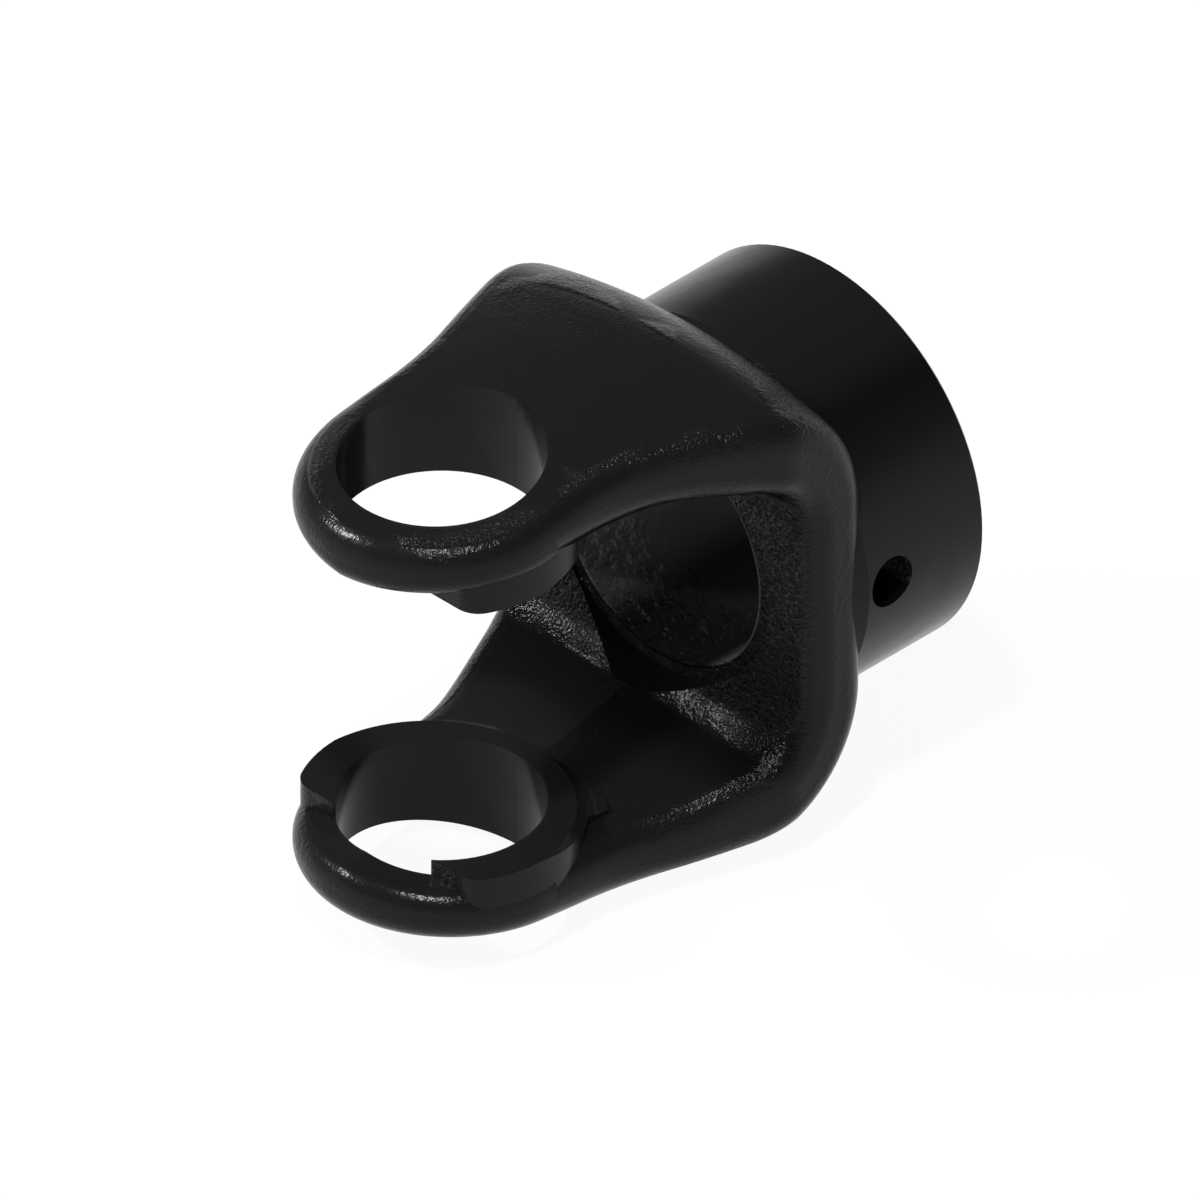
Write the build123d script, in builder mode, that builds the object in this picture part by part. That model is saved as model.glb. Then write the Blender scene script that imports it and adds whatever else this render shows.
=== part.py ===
from build123d import *
import math
import os

# A forged yoke for a driveline joint, one solid piece.
# Lengths are in millimetres and angles in degrees.
# The origin is where the hub axis crosses the axis of the cross bore.
# The hub axis is X, pointing from the ears to the hub.
# The axis of the cross bore is Z.

# Cross bore and ears
cross_bore_diameter = 30.18
ear_gap = 46.2
ear_radius = 21.2
ear_neck_length = 9.0
ear_edge_radius = 3.4
ear_joint_x = 2.0

# Flare from the ears to the saddle
flare_radius = 42.0
flare_angle = 19.0
saddle_half_width = 29.7
saddle_corner_radius = 9.0

# Outer face of each arm, as seen from the side
arm_face_radius = 270.0
arm_crown_radius = 105.0
arm_half_height = 39.5
saddle_back_x = 56.4
saddle_shoulder_radius = 20.0
arm_edge_radius = 4.6

# Pocket between the arms
pocket_half_height = 24.8
pocket_draft = 5.0
pocket_slope_x = 24.7
pocket_slope_angle = 15.0
pocket_slope_radius = 30.0
pocket_corner_radius = 7.4
pocket_edge_radius = 5.0
saddle_floor_x = 41.9

# Raised pads that the cross's caps sit between
pad_radius = 21.0
pad_offset = 2.6
pad_foot_length = 4.6
pad_foot_height = 2.6
pad_foot_half_width = 16.0
pad_inset = 0.3
pad_back_z = 29.6
pad_corner_radius = 4.0

# Clearance scoop at the tip of each ear
scoop_edge_x = 11.7

# Hub
hub_diameter = 61.3
hub_end_x = 78.0
hub_root_diameter = 58.6
hub_root_x = 51.5
hub_root_length = 3.5
hub_bore_diameter = 39.3
hub_edge_chamfer = 0.4
mouth_diameter = 43.8
mouth_depth = 2.0

# Roll-pin hole through both hub walls
pin_hole_diameter = 8.0
pin_hole_x = 59.56

# Overrun of every cut past the surface that it opens
overrun = 5.0

# Closeness within which an edge counts as lying on a plane
fit_tolerance = 0.01

# Plan of the ears and arms
flare = math.radians(flare_angle)
flare_end_x = ear_neck_length + flare_radius * math.sin(flare)
flare_end_y = ear_radius + flare_radius * (1 - math.cos(flare))
saddle_corner_x = flare_end_x + (saddle_half_width - flare_end_y) / math.tan(flare)

# Plan of the ears, arms and saddle
with BuildSketch(Plane.XY) as plan:
    with BuildLine():
        CenterArc((0, 0), ear_radius, 90, 180)
        for side in (1, -1):
            neck = Line((0, side * ear_radius), (ear_neck_length, side * ear_radius))
            bend = JernArc(neck @ 1, (1, 0), flare_radius, side * flare_angle)
            Polyline(
                bend @ 1,
                (saddle_corner_x, side * saddle_half_width),
                (saddle_back_x, side * saddle_half_width),
            )
        Line((saddle_back_x, -saddle_half_width), (saddle_back_x, saddle_half_width))
    make_face()
    saddle_corners = plan.vertices().filter_by_position(
        Axis.X, saddle_corner_x - overrun, saddle_corner_x + overrun
    )
    fillet(saddle_corners.group_by(Axis.X)[-1], saddle_corner_radius)

with BuildPart() as crown:
    # Outer envelope of the upper arm, turned about an axis below the hub axis
    crown_axis_z = arm_half_height - arm_crown_radius
    shoulder_x = saddle_back_x - saddle_shoulder_radius
    shoulder_z = arm_half_height - saddle_shoulder_radius
    face_sweep = math.degrees(math.asin((shoulder_x + ear_radius + overrun) / arm_face_radius))
    with BuildSketch(Plane.XZ) as crown_profile:
        with BuildLine():
            shoulder = CenterArc((shoulder_x, shoulder_z), saddle_shoulder_radius, 0, 90)
            face = CenterArc(
                (shoulder_x, arm_half_height - arm_face_radius), arm_face_radius, 90, face_sweep
            )
            Polyline(
                face @ 1,
                ((face @ 1).X, crown_axis_z),
                (saddle_back_x, crown_axis_z),
                shoulder @ 0,
            )
        make_face()
    revolve(axis=Axis((0, 0, crown_axis_z), (1, 0, 0)))
    split(bisect_by=Plane.XY, keep=Keep.TOP)
    mirror(about=Plane.XY)

# Plan of the pads, which ends in a straight edge at the scoop
with BuildSketch(Plane.XY) as pad_plan:
    Circle(ear_radius - pad_inset)
    Rectangle(
        ear_radius + overrun,
        2 * pad_foot_half_width,
        align=(Align.MIN, Align.CENTER),
    )
    with Locations((-scoop_edge_x, 0)):
        Rectangle(
            scoop_edge_x + ear_radius + overrun,
            2 * ear_radius,
            align=(Align.MIN, Align.CENTER),
            mode=Mode.INTERSECT,
        )
    fillet(pad_plan.vertices().group_by(Axis.X)[0], pad_corner_radius)

with BuildPart() as pads:
    # Pads that face each other across the ear gap, each with a hollowed foot
    with BuildSketch(Plane.XZ) as pad_profile:
        with BuildLine():
            pad_face = Line((-pad_offset, ear_gap / 2), (pad_radius - pad_offset, ear_gap / 2))
            foot_end = pad_face @ 1 + Vector(pad_foot_length, pad_foot_height)
            foot = TangentArc(foot_end, pad_face @ 1, tangent=(-1, 0))
            Polyline(
                foot @ 0,
                (foot_end.X, pad_back_z),
                (-pad_offset, pad_back_z),
                pad_face @ 0,
            )
        make_face()
    revolve(axis=Axis((-pad_offset, 0, 0), (0, 0, 1)))
    mirror(about=Plane.XY)
    extrude(pad_plan.sketch, amount=arm_half_height, both=True, mode=Mode.INTERSECT)

with BuildPart() as blank:
    # Solid blank, trimmed by the crowned envelope
    extrude(plan.sketch, amount=arm_half_height + overrun, both=True)
    add(crown.part, mode=Mode.INTERSECT)
    # Rounded band along the outer rim and round the back of the saddle
    outer_rim = blank.edges().filter_by(
        lambda edge: edge.geom_type not in (GeomType.LINE, GeomType.CIRCLE)
    )
    saddle_back = blank.edges().filter_by(Axis.Z).group_by(Axis.X)[-1]
    fillet(outer_rim + saddle_back, arm_edge_radius)

    # Pocket between the arms, widening from the middle towards both sides
    slope_fall = (saddle_floor_x - pocket_slope_x) * math.tan(math.radians(pocket_slope_angle))
    corner_z = pocket_half_height - slope_fall
    mouth_x = -ear_radius - overrun
    for side in (1, -1):
        with BuildSketch(Plane.XZ) as pocket:
            with BuildLine():
                FilletPolyline(
                    (mouth_x, pocket_half_height),
                    (pocket_slope_x, pocket_half_height),
                    (saddle_floor_x, corner_z),
                    (saddle_floor_x, -corner_z),
                    (pocket_slope_x, -pocket_half_height),
                    (mouth_x, -pocket_half_height),
                    radius=(
                        pocket_slope_radius,
                        pocket_corner_radius,
                        pocket_corner_radius,
                        pocket_slope_radius,
                    ),
                )
                Line((mouth_x, -pocket_half_height), (mouth_x, pocket_half_height))
            make_face()
        extrude(
            amount=side * (saddle_half_width + overrun),
            taper=-pocket_draft,
            mode=Mode.SUBTRACT,
        )

# The pocket's rim is every edge between the pocket and the side walls of the plan
outline = plan.wire()
pocket_spread = (saddle_half_width + overrun) * math.tan(math.radians(pocket_draft))


def on_pocket_rim(edge):
    middle = edge @ 0.5
    on_outline = outline.distance_to(Vector(middle.X, middle.Y)) < fit_tolerance
    inside = abs(middle.Z) < pocket_half_height + pocket_spread
    return on_outline and inside and middle.X < saddle_floor_x + pocket_spread


with BuildPart() as ears:
    # Ears with a tighter rounding than the arms; the pads cover where the two meet
    add(blank.part)
    split(bisect_by=Plane.YZ.offset(ear_joint_x), keep=Keep.BOTTOM)
    ear_rim = ears.edges().filter_by(Axis.Z, reverse=True).filter_by(on_pocket_rim)
    fillet(ear_rim, ear_edge_radius)

with BuildPart() as forged_yoke:
    # Arms and saddle, with a wider rounding along the pocket
    add(blank.part)
    split(bisect_by=Plane.YZ.offset(ear_joint_x), keep=Keep.TOP)
    pocket_rim = forged_yoke.edges().filter_by(Axis.Z, reverse=True).filter_by(on_pocket_rim)
    fillet(pocket_rim, pocket_edge_radius)
    add([ears.part, pads.part])

    # Hub, rising out of the saddle with a short cone
    with BuildSketch(Plane.XZ) as hub_profile:
        Polygon(
            (hub_root_x, 0),
            (hub_root_x, hub_root_diameter / 2),
            (hub_root_x + hub_root_length, hub_diameter / 2),
            (hub_end_x - hub_edge_chamfer, hub_diameter / 2),
            (hub_end_x, hub_diameter / 2 - hub_edge_chamfer),
            (hub_end_x, 0),
            align=None,
        )
    revolve(axis=Axis.X)

    # Cross bore through both ears
    with BuildSketch(Plane.XY) as cross_bore:
        Circle(cross_bore_diameter / 2)
    extrude(amount=arm_half_height + overrun, both=True, mode=Mode.SUBTRACT)

    # Hub bore, opened wider at its mouth in the pocket
    with BuildSketch(Plane.YZ.offset(saddle_floor_x - overrun)) as hub_bore:
        Circle(hub_bore_diameter / 2)
    extrude(amount=hub_end_x - saddle_floor_x + 2 * overrun, mode=Mode.SUBTRACT)
    with BuildSketch(Plane.YZ.offset(saddle_floor_x + mouth_depth)) as hub_mouth:
        Circle(mouth_diameter / 2)
    extrude(amount=-(mouth_depth + overrun), mode=Mode.SUBTRACT)

    # Roll-pin hole through both walls of the hub
    with BuildSketch(Plane.XZ) as pin_hole:
        with Locations((pin_hole_x, 0)):
            Circle(pin_hole_diameter / 2)
    extrude(amount=hub_diameter / 2 + overrun, both=True, mode=Mode.SUBTRACT)

forged_yoke.part.label = "forged_yoke"
os.makedirs("parts", exist_ok=True)
export_step(forged_yoke.part, "parts/forged_yoke.step")
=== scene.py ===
import bpy
from mathutils import Matrix, Vector

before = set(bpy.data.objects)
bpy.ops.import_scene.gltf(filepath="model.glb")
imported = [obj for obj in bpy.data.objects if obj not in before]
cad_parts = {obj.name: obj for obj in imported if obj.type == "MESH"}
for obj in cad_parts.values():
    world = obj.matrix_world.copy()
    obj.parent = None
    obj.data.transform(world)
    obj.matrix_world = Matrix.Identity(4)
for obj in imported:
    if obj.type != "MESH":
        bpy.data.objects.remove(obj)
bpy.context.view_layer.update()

scene = bpy.context.scene
scene.view_settings.view_transform = "Standard"

# Looks of the forged yoke: its black coat, a pale floor, the light and the camera.
# Lengths are in metres, in the part's own frame.
# A span is the two values between which a mask changes.

# Radii of the part's bores, and how far past its radius a bore's wall fades out
EAR_BORE_RADIUS = 0.01509
HUB_BORE_RADIUS = 0.01965
PAST_WALL = (0.00012, 0.00048)

# Spans along the hub axis
EAR_END = (0.012, 0.024)
POCKET_SHADE = (0.014, 0.036)
SADDLE_FLOOR_START = (0.030, 0.034)
HUB_BORE_START = (0.040, 0.041)
RIM_BAND_END = (0.040, 0.048)
ROUGH_BORE_END = (0.046, 0.064)
HUB_START = (0.053, 0.056)

# Span of the distance to either side of the hub axis, over which painted light sets in on the hub bore's
# sides
BORE_SIDE = (0.0078, 0.0140)

# Spans of the distance above or below the hub axis
ARM_START = (0.0225, 0.0275)
OUTER_FACE = (0.028, 0.030)

# Span of the height over which the pale specks of painted light on the saddle's floor set in, so that
# only its upper part gets them
PAINTED_LIGHT_HEIGHT = (-0.014, 0.004)

# Spans of how far a face looks one way, from 0 for not at all to 1 for straight
FLAT_FACING = (0.86, 0.95)
SIDE_FACING = (0.60, 0.90)
SADDLE_FLOOR_FACING = (0.75, 0.93)
RIM_FACING = (0.84, 0.90)
OUTER_FACING = (0.972, 0.984)

# Noises: scale, detail and roughness
FINE_NOISE = (2000.0, 2.0, 0.5)
PIT_NOISE = (900.0, 1.0, 0.5)
SLOW_NOISE = (95.0, 1.0, 0.5)
PATCH_NOISE = (60.0, 2.0, 0.5)
ROUGH_NOISE = (420.0, 2.0, 0.6)
PAINTED_LIGHT_SPECK_NOISE = (1500.0, 2.0, 0.6)

# Spans of a noise that make it into patches and into specks of painted light
PATCHES = (0.44, 0.60)
PAINTED_SPECK_SPAN = (0.50, 0.66)

# Strength of the grain: outside the patches, and what a patch adds
CALM_GRAIN = 0.50
PATCH_GRAIN = 0.50

# Share of the grain that a region takes away
FLAT_FALL = 0.75
SIDE_FALL = 0.75
EAR_FALL = 0.65
HUB_FALL = 0.85
EAR_BORE_FALL = 0.88

# Grain that a region adds
SADDLE_FLOOR_RISE = 2.6
RIM_BAND_RISE = 1.6
ROUGH_BORE_RISE = 4.0

# Share of the pits in the grain, and the depths of the two bumps
PIT_SHARE = 0.7
SLOW_DEPTH = 0.0002
GRAIN_DEPTH = 0.00034

# Coat, its painted shade in the pocket, pale specks of painted light on the saddle's floor, the hub bore
# with painted light on its sides, and how much less rough the coat is on the saddle's floor
COAT_COLOUR = (0.0066, 0.0066, 0.0068, 1.0)
# Painted shade: a darker coat on the arms' inner faces in the pocket
PAINTED_SHADE_COLOUR = (0.0024, 0.0024, 0.0025, 1.0)
# Pale specks of painted light on the upper part of the saddle's floor
PAINTED_LIGHT_SPECK_COLOUR = (0.022, 0.022, 0.0225, 1.0)
# Hub bore: slightly darker than the coat at its top and bottom, with painted light on its sides
BORE_LOW_COLOUR = (0.005, 0.005, 0.0051, 1.0)
BORE_SIDE_PAINTED_LIGHT_COLOUR = (0.065, 0.065, 0.066, 1.0)
COAT_SPECULAR = 0.125
COAT_ROUGHNESS = 0.21
SADDLE_FLOOR_POLISH = 0.11

# Floor under the yoke, and the share of its own white that a camera sees
FLOOR_Z = -0.0398
FLOOR_SIZE = 6.0
FLOOR_COLOUR = (0.95, 0.95, 0.95, 1.0)
FLOOR_GLOW_COLOUR = (1.0, 1.0, 1.0, 1.0)
FLOOR_GLOW_SHARE = 0.94

# Sky: the span of height in which it dims, and the share of its light lost overhead
SKY_DIMMING = (0.0, 0.40)
SKY_LOSS_SHARE = 0.80

# Lamps: the way to each from the origin, its width and its power in watts
LAMP_DISTANCE = 1.2
LAMPS = {
    "key": {"direction": (-0.28, -0.20, 0.94), "size": 0.10, "power": 12.0},
    "rim": {"direction": (-0.52, 0.55, 0.62), "size": 0.09, "power": 14.0},
}

# Camera, with the photograph's scale and the pixel that shows the origin
PIXELS_PER_METRE = 7060.0
FRAME_PIXELS = 1200.0
CROSS_CENTRE_PX = (441.9, 665.4)
CAMERA_DISTANCE = 1.0


class Nodes:
    """Short names for building one shader tree."""

    def __init__(self, owner):
        self.tree = owner.node_tree
        self.tree.nodes.clear()

    def add(self, kind, **values):
        node = self.tree.nodes.new(kind)
        for name, value in values.items():
            setattr(node, name, value)
        return node

    def link(self, source, target):
        self.tree.links.new(source, target)

    def show(self, surface, kind="ShaderNodeOutputMaterial"):
        """End the tree with its output."""
        self.link(surface, self.add(kind).inputs["Surface"])

    def math(self, operation, first, second=None):
        """One operation on one or two values, each a number or a socket."""
        node = self.add("ShaderNodeMath", operation=operation)
        for socket, value in zip(node.inputs, (first, second)):
            if value is None:
                continue
            if isinstance(value, (int, float)):
                socket.default_value = value
            else:
                self.link(value, socket)
        return node.outputs[0]

    def product(self, first, *others):
        for other in others:
            first = self.math("MULTIPLY", first, other)
        return first

    def distance(self, first, second):
        """Distance from the line where both values are 0."""
        squares = self.math("ADD", self.product(first, first), self.product(second, second))
        return self.math("SQRT", squares)

    def outside(self, mask):
        """The mask turned round: 1 where the given one is 0."""
        return self.math("SUBTRACT", 1.0, mask)

    def parts(self, vector):
        node = self.add("ShaderNodeSeparateXYZ")
        self.link(vector, node.inputs["Vector"])
        return node.outputs

    def ramp(self, value, span):
        """Smooth step of a value over a span."""
        low, high = span
        node = self.add("ShaderNodeMapRange", interpolation_type="SMOOTHSTEP")
        self.link(value, node.inputs["Value"])
        node.inputs["From Min"].default_value = low
        node.inputs["From Max"].default_value = high
        return node.outputs["Result"]

    def noise(self, place, texture):
        node = self.add("ShaderNodeTexNoise")
        self.link(place, node.inputs["Vector"])
        for name, value in zip(("Scale", "Detail", "Roughness"), texture):
            node.inputs[name].default_value = value
        return node.outputs["Fac"]

    def blend(self, first, second, share):
        """Mix of two colours, each a constant or a socket."""
        node = self.add("ShaderNodeMix", data_type="RGBA")
        self.link(share, node.inputs["Factor"])
        for name, value in (("A", first), ("B", second)):
            if isinstance(value, tuple):
                node.inputs[name].default_value = value
            else:
                self.link(value, node.inputs[name])
        return node.outputs["Result"]

    def bump(self, height, depth, normal=None):
        node = self.add("ShaderNodeBump")
        self.link(height, node.inputs["Height"])
        node.inputs["Strength"].default_value = 1.0
        node.inputs["Distance"].default_value = depth
        if normal is not None:
            self.link(normal, node.inputs["Normal"])
        return node.outputs["Normal"]


def past_wall(radius):
    """Span of the distance from a bore's axis in which its wall fades out."""
    return [radius + distance for distance in PAST_WALL]


class Regions:
    """Masks over the yoke, each 1 in its own region and 0 well outside it."""

    def __init__(self, n, place):
        x, y, z = n.parts(place)
        facing_x, facing_y, facing_z = n.parts(n.add("ShaderNodeTexCoord").outputs["Normal"])
        aside = n.math("ABSOLUTE", y)
        off_middle = n.math("ABSOLUTE", z)
        facing_side = n.math("ABSOLUTE", facing_y)
        facing_flat = n.math("ABSOLUTE", facing_z)
        facing_ears = n.product(facing_x, -1.0)

        # Faces that look up or down, faces that look to a side, ears and hub
        self.flat = n.ramp(facing_flat, FLAT_FACING)
        self.side = n.ramp(facing_side, SIDE_FACING)
        self.ear = n.outside(n.ramp(x, EAR_END))
        self.hub = n.ramp(x, HUB_START)

        # Walls of the bores, and the hub bore's sides, where light is painted
        self.ear_bore = n.outside(n.ramp(n.distance(x, y), past_wall(EAR_BORE_RADIUS)))
        hub_bore_wall = n.outside(n.ramp(n.distance(y, z), past_wall(HUB_BORE_RADIUS)))
        self.hub_bore = n.product(hub_bore_wall, n.ramp(x, HUB_BORE_START))
        self.rough_bore = n.product(self.hub_bore, n.outside(n.ramp(x, ROUGH_BORE_END)))
        # Painted light: the hub bore's sides get a lighter colour
        self.bore_side_painted_light = n.ramp(aside, BORE_SIDE)

        # Pocket between the arms, whose coat gets painted shade, and the saddle's floor that closes it,
        # whose upper part gets specks of painted light
        between_arms = n.outside(n.ramp(off_middle, ARM_START))
        # Painted shade: the pocket's inner faces get a darker coat
        self.painted_pocket_shade = n.product(between_arms, n.ramp(x, POCKET_SHADE), n.outside(self.side))
        looks_at_ears = n.ramp(facing_ears, SADDLE_FLOOR_FACING)
        self.saddle_floor = n.product(looks_at_ears, n.ramp(x, SADDLE_FLOOR_START))
        # Upper part of the saddle's floor, which gets specks of painted light
        self.painted_light_floor = n.product(self.saddle_floor, n.ramp(z, PAINTED_LIGHT_HEIGHT))

        # Band where each outer face turns over into its rim
        turning = n.product(n.ramp(facing_flat, RIM_FACING), n.outside(n.ramp(facing_flat, OUTER_FACING)))
        before_hub = n.outside(n.ramp(x, RIM_BAND_END))
        self.rim_band = n.product(turning, n.ramp(off_middle, OUTER_FACE), before_hub)


def forged_grain(n, place, on):
    """Bumped normal with fine pitting, calm on the flat faces and strong on the saddle's floor."""
    patches = n.ramp(n.noise(place, PATCH_NOISE), PATCHES)
    strength = n.math("ADD", CALM_GRAIN, n.product(patches, PATCH_GRAIN))
    falls = ((on.flat, FLAT_FALL), (on.side, SIDE_FALL), (on.ear, EAR_FALL), (on.hub, HUB_FALL))
    for region, fall in falls:
        strength = n.product(strength, n.outside(n.product(region, fall)))
    patchy_rim = n.product(on.rim_band, patches)
    for region, rise in ((on.saddle_floor, SADDLE_FLOOR_RISE), (patchy_rim, RIM_BAND_RISE)):
        strength = n.math("ADD", strength, n.product(region, rise))
    strength = n.product(strength, n.outside(n.product(on.ear_bore, EAR_BORE_FALL)))

    pits = n.product(n.noise(place, PIT_NOISE), PIT_SHARE)
    grain = n.product(n.math("ADD", n.noise(place, FINE_NOISE), pits), strength)
    rough = n.product(n.noise(place, ROUGH_NOISE), on.rough_bore, ROUGH_BORE_RISE)
    normal = n.bump(n.noise(place, SLOW_NOISE), SLOW_DEPTH)
    return n.bump(n.math("ADD", grain, rough), GRAIN_DEPTH, normal)


def coat_colour(n, place, on):
    """Coat with painted shade in the pocket, pale specks of painted light on the upper part of the
    saddle's floor and painted light on the hub bore's sides.
    """
    # Pale specks of painted light on the upper part of the saddle's floor
    painted_light_specks = n.product(n.ramp(n.noise(place, PAINTED_LIGHT_SPECK_NOISE), PAINTED_SPECK_SPAN), on.painted_light_floor)
    # Painted shade: a darker coat on the arms' inner faces in the pocket
    coat_and_painted_shade = n.blend(COAT_COLOUR, PAINTED_SHADE_COLOUR, on.painted_pocket_shade)
    # Painted light on the hub bore's sides, over a slightly darker top and bottom
    bore = n.blend(BORE_LOW_COLOUR, BORE_SIDE_PAINTED_LIGHT_COLOUR, on.bore_side_painted_light)
    return n.blend(n.blend(coat_and_painted_shade, PAINTED_LIGHT_SPECK_COLOUR, painted_light_specks), bore, on.hub_bore)


def black_coat():
    material = bpy.data.materials.new("black_coated_steel")
    material.use_nodes = True
    n = Nodes(material)
    place = n.add("ShaderNodeTexCoord").outputs["Object"]
    on = Regions(n, place)
    shader = n.add("ShaderNodeBsdfPrincipled")
    shader.inputs["Specular IOR Level"].default_value = COAT_SPECULAR
    roughness = n.math("SUBTRACT", COAT_ROUGHNESS, n.product(on.saddle_floor, SADDLE_FLOOR_POLISH))
    n.link(roughness, shader.inputs["Roughness"])
    n.link(coat_colour(n, place, on), shader.inputs["Base Color"])
    n.link(forged_grain(n, place, on), shader.inputs["Normal"])
    n.show(shader.outputs["BSDF"])
    return material


def pale_floor():
    """White to the camera and in reflections, with a little of the light and shadow on it."""
    material = bpy.data.materials.new("pale_floor")
    material.use_nodes = True
    n = Nodes(material)
    lit = n.add("ShaderNodeBsdfDiffuse")
    lit.inputs["Color"].default_value = FLOOR_COLOUR
    glow = n.add("ShaderNodeEmission")
    glow.inputs["Color"].default_value = FLOOR_GLOW_COLOUR
    path = n.add("ShaderNodeLightPath")
    seen = n.math("MAXIMUM", path.outputs["Is Camera Ray"], path.outputs["Is Glossy Ray"])
    seen = n.math("MAXIMUM", seen, path.outputs["Is Transmission Ray"])
    mix = n.add("ShaderNodeMixShader")
    n.link(n.product(seen, FLOOR_GLOW_SHARE), mix.inputs["Fac"])
    n.link(lit.outputs["BSDF"], mix.inputs[1])
    n.link(glow.outputs["Emission"], mix.inputs[2])
    n.show(mix.outputs["Shader"])
    return material


def studio_sky():
    """Pale light from the sides, dimmer overhead."""
    world = bpy.data.worlds.new("studio")
    world.use_nodes = True
    n = Nodes(world)
    direction = n.parts(n.add("ShaderNodeTexCoord").outputs["Generated"])
    loss = n.product(n.ramp(direction["Z"], SKY_DIMMING), SKY_LOSS_SHARE)
    sky = n.add("ShaderNodeBackground")
    n.link(n.outside(loss), sky.inputs["Strength"])
    n.show(sky.outputs["Background"], "ShaderNodeOutputWorld")
    return world


def area_light(name, direction, size, power):
    """Round lamp that looks at the origin."""
    data = bpy.data.lights.new(name, "AREA")
    data.shape = "DISK"
    data.size = size
    data.energy = power
    lamp = bpy.data.objects.new(name, data)
    scene.collection.objects.link(lamp)
    lamp.location = Vector(direction).normalized() * LAMP_DISTANCE
    lamp.rotation_euler = (-lamp.location).to_track_quat("-Z", "Y").to_euler()


def isometric_camera():
    """Straight isometric view, at the photograph's scale."""
    data = bpy.data.cameras.new("camera")
    data.type = "ORTHO"
    data.ortho_scale = FRAME_PIXELS / PIXELS_PER_METRE
    camera = bpy.data.objects.new("camera", data)
    scene.collection.objects.link(camera)

    back = Vector((-1, -1, 1)).normalized()
    right = Vector((1, -1, 0)).normalized()
    up = back.cross(right)
    middle = FRAME_PIXELS / 2
    to_right = middle - CROSS_CENTRE_PX[0]
    to_top = CROSS_CENTRE_PX[1] - middle
    target = (right * to_right + up * to_top) / PIXELS_PER_METRE
    turn = Matrix((right, up, back)).transposed().to_4x4()
    camera.matrix_world = Matrix.Translation(target + back * CAMERA_DISTANCE) @ turn
    return camera


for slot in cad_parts["forged_yoke"].material_slots:
    slot.material = black_coat()

bpy.ops.mesh.primitive_plane_add(size=FLOOR_SIZE, location=(0, 0, FLOOR_Z))
floor = bpy.context.object
floor.name = "floor"
floor.data.materials.append(pale_floor())

scene.world = studio_sky()
for name, lamp in LAMPS.items():
    area_light(name, **lamp)
scene.camera = isometric_camera()
